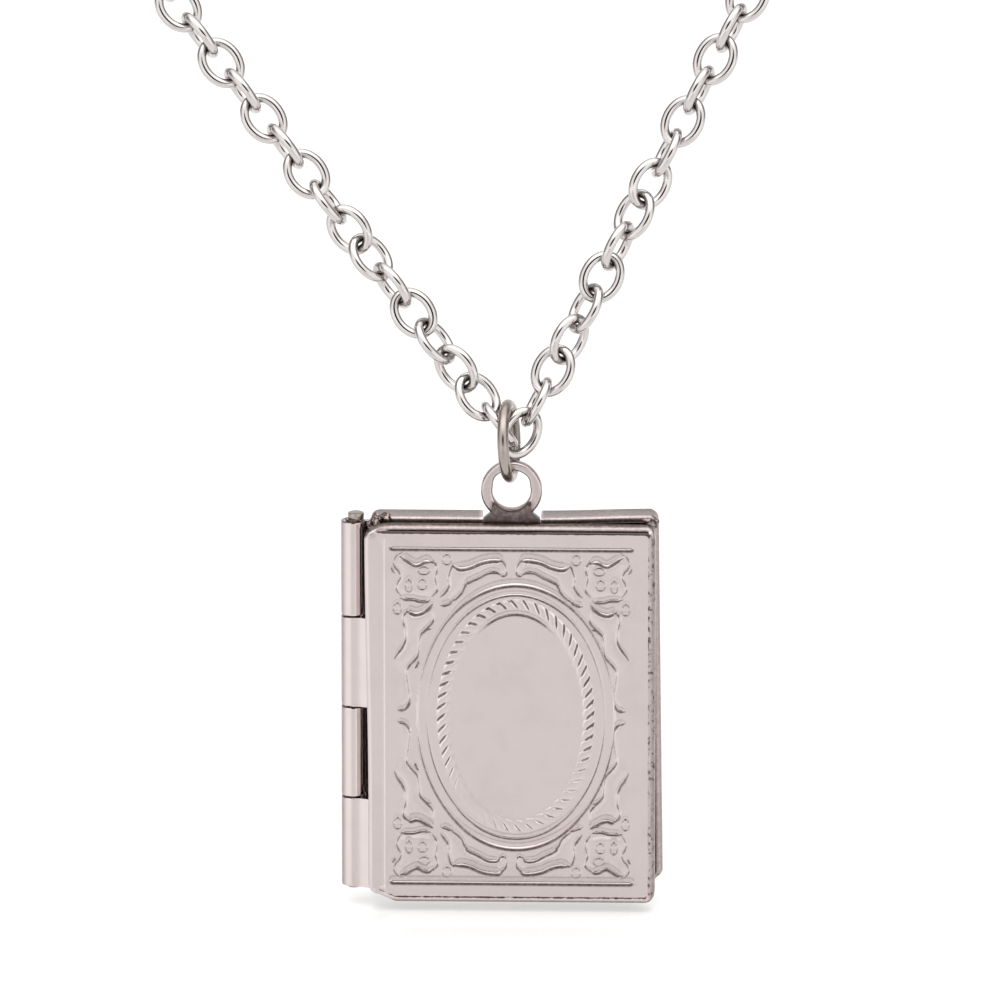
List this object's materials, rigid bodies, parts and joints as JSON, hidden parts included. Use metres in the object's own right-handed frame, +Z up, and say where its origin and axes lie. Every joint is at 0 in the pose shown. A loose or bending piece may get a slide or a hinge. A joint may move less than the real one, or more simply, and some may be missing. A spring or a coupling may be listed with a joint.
{
  "type": "locket necklace",
  "caption": "Book-shaped hinged locket with an embossed cover, hung by a jump ring from a closed loop of oval-link cable chain that is fastened at the nape by a clasp.",
  "frame": {"origin": "where the chain rests on the nape, at the middle of its hidden stretch", "axes": "+Z up, the locket's front faces -Y, its hinge is on the -X side"},
  "size_m": [0.1252, 0.1158, 0.1533],
  "materials": {
    "locket_metal": "satin rhodium plate, stamped",
    "chain_metal": "bright plated wire",
    "ring_metal": "duller nickel wire"
  },
  "bodies": {
    "chain": {"chain_left": "chain_metal", "chain_right": "chain_metal", "clasp": "chain_metal"},
    "ring": {"jump_ring": "ring_metal"},
    "case": {"back_case": "locket_metal", "hinge_pin": "ring_metal"},
    "cover": {"front_cover": "locket_metal"}
  },
  "joints": [
    {"name": "ring_swing", "type": "hinge", "parent": "chain", "child": "ring", "pos_m": [0.01621, -0.11118, -0.11906], "axis": [0.9894, -0.1288, 0.0674], "range_deg": [-25, 25]},
    {"name": "locket_sway", "type": "hinge", "parent": "ring", "child": "case", "pos_m": [0.01639, -0.11118, -0.12157], "axis": [-0.1285, -0.9917, -0.0088], "range_deg": [-30, 12]},
    {"name": "cover_open", "type": "hinge", "parent": "case", "child": "cover", "pos_m": [0.00536, -0.11133, -0.13846], "axis": [0, 0, -1], "range_deg": [0, 175]}
  ]
}
